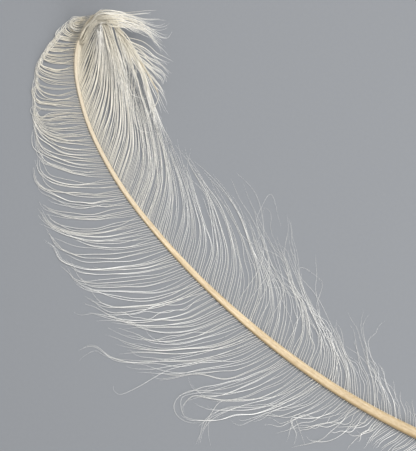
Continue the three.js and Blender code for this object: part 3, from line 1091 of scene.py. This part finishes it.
RIGHT_WISPS = strands(
    (54, 51, 18, 67, 7, 91, -1, 110, -8, 121, -20),
    (62, 59, 21, 75, 10, 97, 1, 112, -6, 131, -8),
    (85, 88, 22, 100, 18, 122, 12, 144, 10, 155, 10, 174, 14, 191, 18, 197, 21, 214, 29),
    (89, 91, 23, 102, 19, 125, 15, 143, 13, 155, 9, 167, 5, 183, -4, 192, -7, 200, -13),
    (96, 97, 24, 107, 19, 135, 12, 164, 10, 184, 12, 199, 14, 206, 17, 210, 22),
    (103, 102, 26, 111, 20, 137, 13, 170, 3, 183, 0, 195, -3, 206, 1, 211, 3),
    (111, 110, 28, 120, 22, 144, 16, 164, 13, 179, 6, 187, 2, 203, 3, 223, 0, 233, -3, 241, -6),
    (122, 121, 31, 130, 26, 153, 17, 180, 8, 202, 0, 214, -4, 223, -12, 230, -12, 226, -6, 223, 3),
    (140, 138, 36, 149, 29, 173, 22, 193, 19, 213, 14, 223, 11, 234, 7, 246, 4),
    (101, 96, 30, 113, 14, 136, 5, 158, 1, 173, 1, 177, -3, 168, -7, 158, -8, 150, -1),
    (137, 131, 36, 151, 16, 173, 1, 189, -9, 202, -15, 211, -22),
    (166, 161, 41, 172, 18, 196, 5, 221, -1, 238, -5, 255, -11),
    (179, 174, 45, 187, 19, 212, 6, 233, 1, 247, -1, 266, -7),
    (189, 183, 43, 191, 17, 207, 6, 226, 0, 232, -10, 235, -18, 235, -22, 228, -20, 219, -15, 206, -10),
    (193, 188, 49, 199, 17, 217, 0, 242, -13, 255, -14, 268, -13),
    (289, 297, 35, 320, 20, 342, 8, 364, -1),
    (290.5, 299, 35, 320, 21, 342, 9, 364, -1, 380, -5),
    (292, 299, 37, 320, 22, 342, 10, 364, 0),
    (293, 293, 43, 315, 27, 349, 11, 367, 4, 383, -1),
    (299.5, 309, 34, 334, 17, 361, 4, 384, -4),
    (301, 309, 35, 334, 18.5, 361, 5, 384, -3),
    (302.5, 309, 36.5, 334, 19.5, 361, 6, 386, -3),
    (301, 302, 41, 326, 25, 360, 9, 376, 3, 392, -3),
    (305, 307, 40, 331, 23, 365, 8, 382, 2, 399, -4),
    (306, 316, 34, 337, 19.5, 359, 8.5, 381, 0),
    (308.5, 316, 36, 337, 21, 359, 10, 380, 1),
    (312, 313, 40, 337, 23, 369, 8, 387, 1, 403, -4),
    (317, 318, 41, 340, 24, 370, 8, 385, 1, 395, -3),
)


# ---- The curled tip ----


class Guide(NamedTuple):
    """A barb that others lie beside: how far from the quill's point it grows, and where it then runs."""

    distance: float
    points: tuple[Point, ...]


@dataclass
class Tuft:
    """Barbs of the curled tip that lie side by side, between guides given in order across the tuft.

    They lie in a number of strands, each of in_strand barbs at the least and at the most, with a spacing
    between them. mingling is how far a strand strays from its even place between the guides, as a share
    of the way to the next. strand_sway and strand_bob are how far it strays sideways and up and down.
    """

    ROW = 120  # points along a guide
    ROOT_HEIGHT = 0.4  # how high over the underside barbs grow out, as a share of the shaft's width
    ROOT_SPACING = 0.4  # how far apart they grow, as a share of the distance between them later
    SPACING_SPREAD = 0.2
    GIRTH_SPREAD = (0.8, 1.2)
    SWAY_TURNS, BOB_TURNS = 1.0, 0.9
    STRAY_RISE = 2.5  # the strands stray fully after one part in this many of their length
    LAST = 1.001  # keeps a place among the guides just short of the last one

    name: str
    strands: int
    guides: tuple[Guide, ...]
    in_strand: tuple[int, int] = (2, 4)
    mingling: float = 0.5
    spacing: float = 1.3
    strand_sway: float = 0.9
    strand_bob: float = 0.8
    tones: Span = (0.0, 1.0)
    girth: float = 1.15
    thread: Thread = PLAIN
    gather: Gather = Gather(closed=(0.15, 0.4), reach=(0.7, 1.0), flare=0.8, curl=1.2)

    def barbs(self, shaft: Shaft, rng: Draws) -> Barbs:
        """Return the tuft's barbs.

        Args:
            shaft: The shaft that they grow from.
            rng: The source of random numbers.

        Returns:
            The barbs, in order of their guides.
        """
        rows = [self._row(shaft, guide) for guide in self.guides]
        share = np.linspace(0.0, 1.0, self.ROW)
        rise = smooth(share * self.STRAY_RISE)
        last = len(rows) - self.LAST
        strays = self.mingling * last / self.strands
        paths, tones = [], []
        for even in np.linspace(0.0, last, self.strands):
            place = float(np.clip(even + rng.normal(0.0, strays), 0.0, last))
            below, part = int(place), place % 1.0
            row = rows[below] * (1 - part) + rows[below + 1] * part
            across = unit(np.cross((0.0, 0.0, 1.0), np.gradient(row, axis=0)))
            sway = wave(rng, share, self.SWAY_TURNS) * self.strand_sway * rise
            row = row + across * sway[:, None]
            row[:, 2] += wave(rng, share, self.BOB_TURNS) * self.strand_bob * rise
            tone = rng.uniform(*self.tones)
            closed = rng.uniform(*self.gather.closed)
            number = int(rng.integers(self.in_strand[0], self.in_strand[1] + 1))
            for k in range(number):
                aside = (k - (number - 1) / 2) * self.spacing + rng.normal(0.0, self.SPACING_SPREAD)
                own = row + across[0] * aside * self.ROOT_SPACING
                paths.append(self.gather.path(rng, own, row, aside, closed))
                tones.append(tone + rng.normal(0.0, TONE_SPREAD))
        girths = self.girth * rng.uniform(*self.GIRTH_SPREAD, len(paths))
        return Barbs(np.stack(paths), np.clip(tones, 0.0, 1.0), girths, self.thread)

    def _row(self, shaft: Shaft, guide: Guide) -> np.ndarray:
        """Lay out a guide.

        Args:
            shaft: The shaft that it grows from.
            guide: The guide.

        Returns:
            Evenly spaced points from its root to its tip.
        """
        height = self.ROOT_HEIGHT * float(shaft.width(guide.distance))
        root = shaft.line.at(guide.distance)[0] + (0.0, 0.0, height)
        return Line((root, *guide.points)).spread(self.ROW)


def guides(*rows: tuple[float, ...]) -> tuple[Guide, ...]:
    """Return a guide for each row of numbers: its distance, and then the x, y and z of each point."""
    return tuple(Guide(row[0], tuple(zip(row[1::3], row[2::3], row[3::3]))) for row in rows)


# The tufts of the curled tip: over the shaft's last bend, the crown itself, along the right side of the
# curl, under it, the thick rope that hangs over the right vane, and single barbs that cross the others.
COVER_GUIDES = guides(
    (498, 423, 8, 16, 425, 2, 21, 425, -3, 27, 426, -9, 34, 424, -14, 39, 420, -18, 42, 412, -25, 40,
     403, -31, 36, 398, -33, 33),
    (493, 421, 13, 13, 424, 6, 18, 424, -1, 26, 424, -7, 34, 422, -12, 39, 416, -19, 41, 409, -24, 40,
     402, -29, 36),
    (492, 416, 13, 11, 420, 5, 18, 422, -3, 28, 420, -10, 36, 414, -16, 41, 406, -21, 42, 397, -25, 39,
     389, -28, 34),
    (500, 420, 4, 19, 421, -2, 27, 418, -8, 35, 412, -13, 40, 404, -17, 41, 396, -20, 39),
)
CROWN_GUIDES = guides(
    (505, 425, -3, 27, 424, -11, 36, 419, -18, 40, 413, -25, 39, 406, -30, 35, 399, -36, 30, 394, -41, 26,
     387, -46, 22),
    (508, 425, -4, 29, 422, -11, 38, 416, -19, 41, 409, -25, 39, 401, -30, 35, 394, -34, 30, 389, -38, 27,
     386, -43, 25, 386, -48, 23),
    (512, 423, -5, 31, 420, -11, 39, 414, -18, 42, 407, -25, 39, 398, -30, 34, 389, -32, 29, 382, -34, 25,
     378, -38, 22, 380, -43, 20, 383, -46, 18),
    (516, 420, -7, 33, 416, -13, 41, 410, -20, 42, 403, -26, 38, 394, -29, 33, 386, -31, 28, 378, -32, 23,
     371, -32, 19, 364, -30, 16),
    (522, 417, -9, 37, 412, -15, 42, 405, -21, 40, 398, -26, 36, 390, -29, 31, 381, -29, 26, 373, -30, 21,
     365, -31, 17),
    (530, 413, -11, 41, 406, -16, 41, 400, -21, 38, 394, -26, 35, 388, -28, 31, 384, -26, 28, 383, -23, 26),
)
LOW_GUIDES = guides(
    (546, 400, -13, 40, 394, -17, 38, 387, -21, 35, 380, -23, 31, 373, -24, 27, 367, -27, 23, 362, -29, 20,
     355, -29, 17),
    (552, 395, -13, 39, 387, -16, 36, 378, -19, 31, 370, -21, 26, 362, -22, 22, 355, -24, 18),
    (560, 389, -12, 38, 380, -15, 34, 370, -16, 29, 362, -19, 24, 355, -19, 20, 351, -17, 18, 353, -12, 17),
    (568, 381, -11, 37, 372, -13, 32, 364, -14, 27, 357, -16, 22, 352, -15, 19, 352, -10, 18),
    (578, 373, -11, 35, 366, -11, 30, 358, -11, 25, 353, -10, 21, 350, -9, 18),
    (590, 364, -9, 30, 357, -8, 26, 350, -8, 22, 343, -7, 17, 335, -5, 13, 328, 0, 10),
)
INNER_GUIDES = guides(
    (506, 421, -7, 31, 415, -5, 31, 404, 0, 29, 390, 8, 25, 377, 17, 18, 366, 25, 12),
    (516, 417, -7, 33, 408, -4, 32, 396, 2, 29, 382, 9, 24, 367, 17, 17, 354, 26, 10),
    (524, 414, -8, 35, 402, -3, 33, 389, 3, 29, 375, 10, 23, 360, 18, 15, 347, 27, 9),
    (534, 409, -9, 37, 398, -5, 34, 385, 1, 29, 374, 6, 24, 364, 11, 19),
    (544, 402, -11, 38, 392, -7, 35, 382, -2, 31, 372, 3, 26),
    (550, 400, -12, 38, 388, -8, 36, 376, -2, 31, 363, 3, 26, 355, 7, 21),
)
ROPE_GUIDES = guides(
    (556, 394, -10, 36, 381, -5, 32, 368, 0, 26, 355, 6, 19, 342, 12, 13, 329, 18, 8, 318, 25, 5),
    (554, 401, -11, 39, 389, -9, 37, 378, -7, 33, 367, -4, 28, 354, 2, 22, 344, 7, 17),
    (570, 382, -10, 36, 368, -5, 30, 354, 0, 23, 342, 7, 16, 329, 13, 10, 317, 21, 6),
    (590, 366, -7, 30, 355, -1, 24, 344, 5, 17, 332, 12, 11, 321, 18, 7),
    (552, 396, -12, 39, 381, -10, 36, 367, -6, 29, 353, 0, 22, 339, 6, 15, 327, 12, 10, 315, 18, 6),
    (540, 406, -13, 41, 391, -13, 39, 376, -10, 34, 362, -5, 27, 348, 0, 20, 335, 5, 14, 323, 9, 9,
     311, 10, 6),
    (528, 414, -12, 40, 402, -15, 41, 388, -14, 38, 374, -12, 33, 360, -7, 27, 347, -4, 20, 335, 0, 14,
     322, 2, 9, 308, 3, 6),
)
WEB_GUIDES = guides(
    (520, 404, -35, 34, 398, -40, 31, 392, -43, 27, 386, -45, 23),
    (526, 396, -46, 30, 389, -47, 26, 382, -49, 22),
    (546, 383, -6, 31, 375, 2, 27, 368, 8, 22, 362, 10, 20, 357, 7, 19, 352, 3, 20, 345, 1, 19),
    (543, 379, 1, 28, 370, 9, 22, 363, 15, 17, 357, 17, 14, 351, 15, 14, 345, 12, 15, 338, 10, 14),
    (552, 377, -6, 30, 366, 4, 23, 356, 13, 17, 345, 21, 13, 337, 22, 11, 332, 18, 11, 326, 13, 11,
     316, 10, 9, 307, 10, 7),
    (550, 380, -5, 31, 370, 4, 24, 360, 12, 18, 349, 17, 14, 338, 22, 11, 327, 26, 9, 317, 29, 8,
     311, 28, 7, 305, 24, 6, 296, 24, 5),
    (608, 347, -3, 21, 343, 4, 18, 341, 12, 15, 337, 19, 13, 332, 21, 12, 325, 20, 11),
)


# ---- Finishes ----


class Blend(Enum):
    """How a second colour goes over a first. The value is the node's own name for it."""

    MIX = "MIX"
    MULTIPLY = "MULTIPLY"


class Wires:
    """A node tree, with short ways to add nodes and to join them."""

    def __init__(self, tree: bpy.types.NodeTree) -> None:
        """Take the tree that nodes are added to."""
        self.tree = tree

    def add(self, kind: str, **settings: object) -> bpy.types.Node:
        """Add a node.

        Args:
            kind: Its type, without the ShaderNode that every type begins with.
            **settings: Its properties.

        Returns:
            The node.
        """
        node = self.tree.nodes.new(f"ShaderNode{kind}")
        for name, value in settings.items():
            setattr(node, name, value)
        return node

    def join(self, source: Socket, node: bpy.types.Node, socket: str | int) -> None:
        """Lead a socket's value to an input of a node."""
        self.tree.links.new(source, node.inputs[socket])

    def split(self, source: Socket) -> tuple[Socket, ...]:
        """Take a vector apart.

        Args:
            source: The vector.

        Returns:
            Its X, Y and Z.
        """
        node = self.add("SeparateXYZ")
        self.join(source, node, 0)
        return tuple(node.outputs)

    def marks(self) -> Socket:
        """Return the marks of the piece, which tell where on its barb or shaft each point is."""
        return self.add("Attribute", attribute_name=MARKS).outputs["Vector"]

    def product(self, first: Socket, second: Socket) -> Socket:
        """Multiply two values.

        Args:
            first: The one value.
            second: The other value.

        Returns:
            Their product.
        """
        node = self.add("Math", operation="MULTIPLY")
        self.join(first, node, 0)
        self.join(second, node, 1)
        return node.outputs[0]

    def mean(self, first: Socket, second: Socket) -> Socket:
        """Take the mean of two values.

        Args:
            first: The one value.
            second: The other value.

        Returns:
            Their mean.
        """
        half = self.add("Math", operation="MULTIPLY")
        half.inputs[1].default_value = 0.5
        self.join(second, half, 0)
        node = self.add("Math", operation="MULTIPLY_ADD")
        node.inputs[1].default_value = 0.5
        self.join(first, node, 0)
        self.join(half.outputs[0], node, 2)
        return node.outputs[0]

    def ramp(self, source: Socket, low: float, high: float) -> Socket:
        """Make a value that goes from 0 to 1 while another goes from low to high.

        Args:
            source: The other value.
            low: Where it gives 0.
            high: Where it gives 1.

        Returns:
            The value, held between 0 and 1.
        """
        node = self.add("MapRange")
        node.inputs["From Min"].default_value = low
        node.inputs["From Max"].default_value = high
        self.join(source, node, "Value")
        return node.outputs["Result"]

    def mix(
        self,
        factor: Socket,
        first: Socket | Colour,
        second: Socket | Colour,
        blend: Blend = Blend.MIX,
    ) -> Socket:
        """Return a colour made of two.

        Args:
            factor: How much the second colour counts, from 0 to 1.
            first: The colour where the factor is 0, as a socket or as red, green and blue.
            second: The other colour.
            blend: Whether the second colour takes the place of the first, or multiplies it.

        Returns:
            The colour's socket.
        """
        node = self.add("Mix", data_type="RGBA", blend_type=blend.value)
        self.join(factor, node, "Factor")
        for socket, colour in (("A", first), ("B", second)):
            if isinstance(colour, tuple):
                node.inputs[socket].default_value = (*colour, 1.0)
            else:
                self.join(colour, node, socket)
        return node.outputs["Result"]


def new_material(name: str) -> tuple[bpy.types.Material, Wires, bpy.types.Node]:
    """Make a material with nodes.

    Args:
        name: Its name.

    Returns:
        The material, its tree and its Principled shader.
    """
    material = bpy.data.materials.new(name)
    material.use_nodes = True
    tree = material.node_tree
    shader = next(n for n in tree.nodes if n.type == "BSDF_PRINCIPLED")
    return material, Wires(tree), shader


def keratin_grain() -> bpy.types.NodeTree:
    """Make the node group for the fine uneven lines that run along horn and barbs, once.

    Its inputs are a place, and how many lines there are along the first and across the second direction.
    Its output is a mask from 0 to 1.

    Returns:
        The group.
    """
    name = "keratin_grain"
    if name in bpy.data.node_groups:
        return bpy.data.node_groups[name]
    group = bpy.data.node_groups.new(name, "ShaderNodeTree")
    group.interface.new_socket("Place", in_out="INPUT", socket_type="NodeSocketVector")
    for title in ("Along", "Across"):
        group.interface.new_socket(title, in_out="INPUT", socket_type="NodeSocketFloat")
    group.interface.new_socket("Mask", in_out="OUTPUT", socket_type="NodeSocketFloat")
    wires = Wires(group)
    given, out = group.nodes.new("NodeGroupInput"), group.nodes.new("NodeGroupOutput")
    scale = wires.add("CombineXYZ")
    wires.join(given.outputs["Along"], scale, "X")
    wires.join(given.outputs["Across"], scale, "Y")
    stretch = wires.add("VectorMath", operation="MULTIPLY")
    wires.join(given.outputs["Place"], stretch, 0)
    wires.join(scale.outputs["Vector"], stretch, 1)
    noise = wires.add("TexNoise")
    for title, value in (("Scale", 1.0), ("Detail", 5.0), ("Roughness", 0.6)):
        noise.inputs[title].default_value = value
    wires.join(stretch.outputs["Vector"], noise, "Vector")
    wires.join(wires.ramp(noise.outputs["Fac"], 0.3, 0.7), out, "Mask")
    return group


@dataclass(frozen=True)
class Grain:
    """How many lines the keratin grain has along the first direction and across the second one."""

    along: float
    across: float

    def mask(self, wires: Wires, place: Socket) -> Socket:
        """Put the grain into a material.

        Args:
            wires: The tree of the material.
            place: The place that the lines are counted by.

        Returns:
            The mask of the lines.
        """
        node = wires.add("Group", node_tree=keratin_grain())
        node.inputs["Along"].default_value = self.along
        node.inputs["Across"].default_value = self.across
        wires.join(place, node, "Place")
        return node.outputs["Mask"]


def rough_up(wires: Wires, shader: bpy.types.Node, mask: Socket, depth: float) -> None:
    """Raise the surface, at half strength, where a mask is high.

    Args:
        wires: The tree of the material.
        shader: Its shader.
        mask: The mask.
        depth: How far the surface rises, in metres.
    """
    bump = wires.add("Bump")
    bump.inputs["Strength"].default_value = 0.5
    bump.inputs["Distance"].default_value = depth
    wires.join(mask, bump, "Height")
    wires.join(bump.outputs["Normal"], shader, "Normal")


@dataclass(frozen=True)
class HornFinish:
    """Cream horn for the shaft: mottled, deeper at the quill, pale at the tip, with fine lines along it.

    Its left edge is darker and yellower by tan, and its right edge lighter by a painted highlight where the
    light falls. The colours tan, blotch, lines and the highlight multiply the others. The spans are where
    one
    colour goes over into the next: by the share of the shaft's length for the quill and the tip, and by the
    share of its half width to the left for the edges. line_depth is in metres.
    """

    name: str = "horn"
    quill: Colour = (0.455, 0.355, 0.215)
    dark: Colour = (0.48, 0.37, 0.225)
    light: Colour = (0.72, 0.61, 0.43)
    tip: Colour = (0.60, 0.54, 0.435)
    # Darkens and yellows the shaft's left edge.
    tan: Colour = (0.86, 0.79, 0.66)
    blotch: Colour = (0.72, 0.66, 0.56)
    lines: Colour = (0.90, 0.87, 0.82)
    # A painted highlight: lightens the shaft's right edge, with a cool tint, where the light falls on it.
    painted_highlight: Colour = (1.25, 1.27, 1.32)
    quill_span: Span = (0.1, 0.42)
    tip_span: Span = (0.5, 0.75)
    tan_span: Span = (0.45, 0.95)
    painted_highlight_span: Span = (-0.4, -0.9)
    streak_grain: Grain = Grain(22.0, 1.0)
    blotch_grain: Grain = Grain(160.0, 3.0)
    line_grain: Grain = Grain(27.0, 12.0)
    line_depth: float = 0.0002
    roughness: float = 0.4

    def material(self) -> bpy.types.Material:
        """Make the material.

        Returns:
            The material.
        """
        material, wires, shader = new_material(self.name)
        marks = wires.marks()
        share, aside, _ = wires.split(marks)
        lines = self.line_grain.mask(wires, marks)
        colour = wires.mix(self.streak_grain.mask(wires, marks), self.dark, self.light)
        colour = wires.mix(wires.ramp(share, *self.quill_span), self.quill, colour)
        # Darker and yellower towards the left edge.
        colour = wires.mix(wires.ramp(aside, *self.tan_span), colour, self.tan, Blend.MULTIPLY)
        colour = wires.mix(wires.ramp(share, *self.tip_span), colour, self.tip)
        colour = wires.mix(self.blotch_grain.mask(wires, marks), colour, self.blotch, Blend.MULTIPLY)
        colour = wires.mix(lines, colour, self.lines, Blend.MULTIPLY)
        # Painted highlight along the shaft's right edge, where the light falls.
        colour = wires.mix(wires.ramp(aside, *self.painted_highlight_span), colour, self.painted_highlight, Blend.MULTIPLY)
        wires.join(colour, shader, "Base Color")
        rough_up(wires, shader, lines, self.line_depth)
        shader.inputs["Roughness"].default_value = self.roughness
        return material


@dataclass(frozen=True)
class DownFinish:
    """Soft white threads, duller at their roots, uneven from lock to lock, and creamier at the crown.

    The crown's colour multiplies the others. It sets in along X, over crown_span in metres, and fades
    towards the tips of the barbs, over tip_span of their length. The roots' colour is partly the barbs' own
    creamier tone and partly painted shade, where they grow in beside and under the shaft. root_span is
    where it ends, and streak_depth is in metres.
    """

    name: str = "down"
    # Partly the barbs' own creamier tone near the shaft, partly painted shade where they grow in beside and
    # under it.
    root: Colour = (0.70, 0.67, 0.60)
    pale: Colour = (0.96, 0.95, 0.92)
    warm: Colour = (0.66, 0.64, 0.59)
    crown: Colour = (0.78, 0.725, 0.612)
    root_span: Span = (0.0, 0.35)
    crown_span: Span = (0.27, 0.42)
    tip_span: Span = (1.25, 0.45)
    streak_grain: Grain = Grain(18.0, 30.0)
    streak_depth: float = 0.0001
    roughness: float = 0.6
    sheen: float = 0.3
    sheen_roughness: float = 0.4

    def material(self) -> bpy.types.Material:
        """Make the material.

        Returns:
            The material.
        """
        material, wires, shader = new_material(self.name)
        marks = wires.marks()
        share, tone, _ = wires.split(marks)
        streaks = self.streak_grain.mask(wires, marks)
        colour = wires.mix(wires.mean(streaks, tone), self.pale, self.warm)
        # Darker roots: partly real creamier tone, partly painted shade beside and under the shaft.
        colour = wires.mix(wires.ramp(share, *self.root_span), self.root, colour)
        ahead = wires.split(wires.add("TexCoord").outputs["Object"])[0]
        near_crown = wires.ramp(ahead, *self.crown_span)
        creamy = wires.product(near_crown, wires.ramp(share, *self.tip_span))
        wires.join(wires.mix(creamy, colour, self.crown, Blend.MULTIPLY), shader, "Base Color")
        rough_up(wires, shader, streaks, self.streak_depth)
        shader.inputs["Roughness"].default_value = self.roughness
        shader.inputs["Sheen Weight"].default_value = self.sheen
        shader.inputs["Sheen Roughness"].default_value = self.sheen_roughness
        return material


@dataclass(frozen=True)
class PaperFinish:
    """Plain pale paper with a faint grain, for the surface that the feather lies on."""

    name: str = "paper"
    colour: Colour = (0.180, 0.187, 0.197)
    fleck: Colour = (0.170, 0.177, 0.187)
    scale: float = 400.0
    roughness: float = 0.9

    def material(self) -> bpy.types.Material:
        """Make the material.

        Returns:
            The material.
        """
        material, wires, shader = new_material(self.name)
        noise = wires.add("TexNoise")
        noise.inputs["Scale"].default_value = self.scale
        wires.join(wires.add("TexCoord").outputs["Object"], noise, "Vector")
        wires.join(wires.mix(noise.outputs["Fac"], self.colour, self.fleck), shader, "Base Color")
        shader.inputs["Roughness"].default_value = self.roughness
        return material


# ---- The studio ----


class Lamp(NamedTuple):
    """A square soft lamp: where it hangs and how wide it is, in metres, and its power in watts."""

    name: str
    place: Point
    size: float
    watts: float


@dataclass
class Studio:
    """The floor, the lights and the camera that looks straight down. Lengths are in metres here.

    target is the middle of the camera's view, view_height the size of what it shows from top to bottom,
    and up_heading the way that its upper edge faces, in degrees from +X.
    """

    target: Place = (0.2474, 0.0306)
    up_heading: float = -40.0
    height: float = 5.0
    view_height: float = 0.3473
    sensor: float = 36.0
    floor_reach: float = 4.0
    sky: Colour = (0.8, 0.82, 0.85)
    sky_strength: float = 0.55
    lamps: tuple[Lamp, ...] = (
        Lamp("key", (0.44, -0.6, 1.85), 0.9, 44.0),
        Lamp("fill", (-0.9, -0.1, 0.9), 1.2, 14.0),
    )

    def build(self) -> None:
        """Make the floor, the lights, the world and the camera."""
        self._floor()
        self._camera()
        for lamp in self.lamps:
            self._hang(lamp)
        world = bpy.data.worlds.new("studio")
        world.use_nodes = True
        background = world.node_tree.nodes["Background"]
        background.inputs["Color"].default_value = (*self.sky, 1.0)
        background.inputs["Strength"].default_value = self.sky_strength
        bpy.context.scene.world = world
        bpy.context.scene.view_settings.view_transform = "Standard"

    def _floor(self) -> None:
        """Make the surface that the feather lies on."""
        bm = bmesh.new()
        bmesh.ops.create_grid(bm, x_segments=1, y_segments=1, size=self.floor_reach)
        mesh = bpy.data.meshes.new("floor")
        bm.to_mesh(mesh)
        bm.free()
        floor = bpy.data.objects.new("floor", mesh)
        mesh.materials.append(PaperFinish().material())
        bpy.context.scene.collection.objects.link(floor)

    def _camera(self) -> None:
        """Put the camera above the feather, so that the shaft climbs from lower right to upper left."""
        data = bpy.data.cameras.new("camera")
        data.sensor_width = self.sensor
        data.lens = self.sensor * self.height / self.view_height
        camera = bpy.data.objects.new("camera", data)
        turn = Matrix.Rotation(math.radians(self.up_heading) - math.pi / 2, 4, "Z")
        camera.matrix_world = Matrix.Translation((*self.target, self.height)) @ turn
        bpy.context.scene.collection.objects.link(camera)
        bpy.context.scene.camera = camera

    def _hang(self, lamp: Lamp) -> None:
        """Hang a lamp so that it faces the middle of the camera's view.

        Args:
            lamp: The lamp.
        """
        data = bpy.data.lights.new(lamp.name, "AREA")
        data.size = lamp.size
        data.energy = lamp.watts
        hung = bpy.data.objects.new(lamp.name, data)
        aim = (Vector((*self.target, 0.0)) - Vector(lamp.place)).to_track_quat("-Z", "Y")
        hung.matrix_world = Matrix.Translation(lamp.place) @ aim.to_matrix().to_4x4()
        bpy.context.scene.collection.objects.link(hung)


# ---- The feather ----

LEFT_VANE = {"side": Side.LEFT, "locks": LEFT_LOCKS, "wisps": LEFT_WISPS, "lie": LEFT_LIE}
RIGHT_VANE = {"side": Side.RIGHT, "locks": RIGHT_LOCKS, "wisps": RIGHT_WISPS, "lie": RIGHT_LIE}
VANE_NODES = {Side.LEFT: "left_vane", Side.RIGHT: "right_vane"}
VANES = (
    Vane(
        "left_barbs_lower",
        first=1,
        last=220,
        gather=Gather(closed=(0.3, 0.65), closeness=0.16, flare=2.4, curl=2.2),
        loose=WILD,
        spacings=((0, 2.2), (220, 2.2)),
        girths=((0, 0.85), (110, 0.85), (150, 0.8), (220, 0.95)),
        **LEFT_VANE,
    ),
    Vane(
        "left_barbs_middle",
        first=220,
        last=370,
        gather=Gather(reach=(0.88, 1.0), flare=0.9, curl=0.8),
        loose=Gather(reach=(0.85, 1.0), sway=0.8, flare=1.2, curl=1.5),
        spacings=((220, 2.1), (370, 1.7)),
        girths=((220, 0.95), (370, 0.9)),
        trail=(320, 370),
        **LEFT_VANE,
    ),
    Vane(
        "left_barbs_upper",
        first=370,
        last=471,
        gather=Gather(closeness=0.55, reach=(0.9, 1.0), flare=0.4, curl=0.4),
        loose=NEAT,
        spacings=((370, 1.6), (420, 1.1), (440, 0.8), (471, 0.7)),
        girths=((370, 0.9), (415, 0.85), (435, 1.15), (471, 1.35)),
        trail=(370, 445),
        **LEFT_VANE,
    ),
    Vane(
        "right_barbs_lower",
        first=1,
        last=150,
        gather=Gather(
            closed=(0.6, 0.95),
            closeness=0.4,
            reach=(0.6, 1.0),
            sway=0.5,
            flare_from=0.4,
            flare=3.0,
            curl=2.0,
        ),
        loose=WILD,
        loose_share=0.28,
        loose_over=4,
        spacings=((0, 2.3), (150, 2.2)),
        girths=((0, 0.85), (150, 0.9)),
        thread=FINE,
        **RIGHT_VANE,
    ),
    Vane(
        "right_barbs_middle",
        first=150,
        last=320,
        gather=Gather(closed=(0.4, 0.75), closeness=0.2, reach=(0.72, 1.0), sway=0.4, flare=1.3, curl=1.2),
        loose=Gather(reach=(0.7, 1.0), sway=1.2, turns=1.8, flare=3.0, curl=2.0),
        loose_share=0.14,
        spacings=((150, 2.2), (220, 2.1), (270, 1.7), (320, 1.25)),
        girths=((150, 0.9), (280, 0.95), (320, 1.0)),
        widest_gap=9.0,
        thread=FINE,
        **RIGHT_VANE,
    ),
    Vane(
        "right_barbs_upper",
        first=320,
        last=446,
        gather=Gather(closed=(0.35, 0.6), closeness=0.24, reach=(0.85, 1.0), flare=0.5, curl=0.5),
        loose=NEAT,
        loose_share=0.08,
        spacings=((320, 1.2), (446, 0.95)),
        girths=((320, 0.85), (370, 0.95), (392, 1.4), (446, 1.6)),
        thread=FULL,
        **RIGHT_VANE,
    ),
)
TUFTS = (
    Tuft("tip_barbs_inner", 22, INNER_GUIDES, girth=0.95),
    Tuft("tip_barbs_rope", 14, ROPE_GUIDES, girth=1.0),
    Tuft("tip_barbs_low", 14, LOW_GUIDES, (1, 3), girth=0.9),
    Tuft("tip_barbs_cover", 16, COVER_GUIDES, tones=(0.0, 0.3), girth=1.3),
    Tuft("tip_barbs_crown", 22, CROWN_GUIDES, (1, 3), strand_sway=1.4, tones=(0.0, 0.5), girth=0.95),
    Tuft("tip_barbs_web", len(WEB_GUIDES), WEB_GUIDES, (1, 2), mingling=0.0, girth=0.8),
)


def dress(piece: bpy.types.Object, node: str, material: bpy.types.Material) -> None:
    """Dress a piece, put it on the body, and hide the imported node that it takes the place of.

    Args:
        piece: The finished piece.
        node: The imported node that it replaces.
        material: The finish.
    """
    piece.data.materials.append(material)
    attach(piece, BODY)
    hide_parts(node)


def main() -> None:
    """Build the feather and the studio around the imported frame."""
    logging.basicConfig(level=logging.INFO, format="%(name)s %(message)s")
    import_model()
    Studio().build()
    rng = np.random.default_rng(SEED)
    down = DownFinish().material()
    shaft = Shaft()
    dress(shaft.build(), "shaft", HornFinish().material())
    for vane in VANES:
        dress(vane.barbs(shaft, rng).mesh(vane.name, rng), VANE_NODES[vane.side], down)
    for tuft in TUFTS:
        dress(tuft.barbs(shaft, rng).mesh(tuft.name, rng), "tip_barbs", down)


if __name__ == "__main__":
    main()
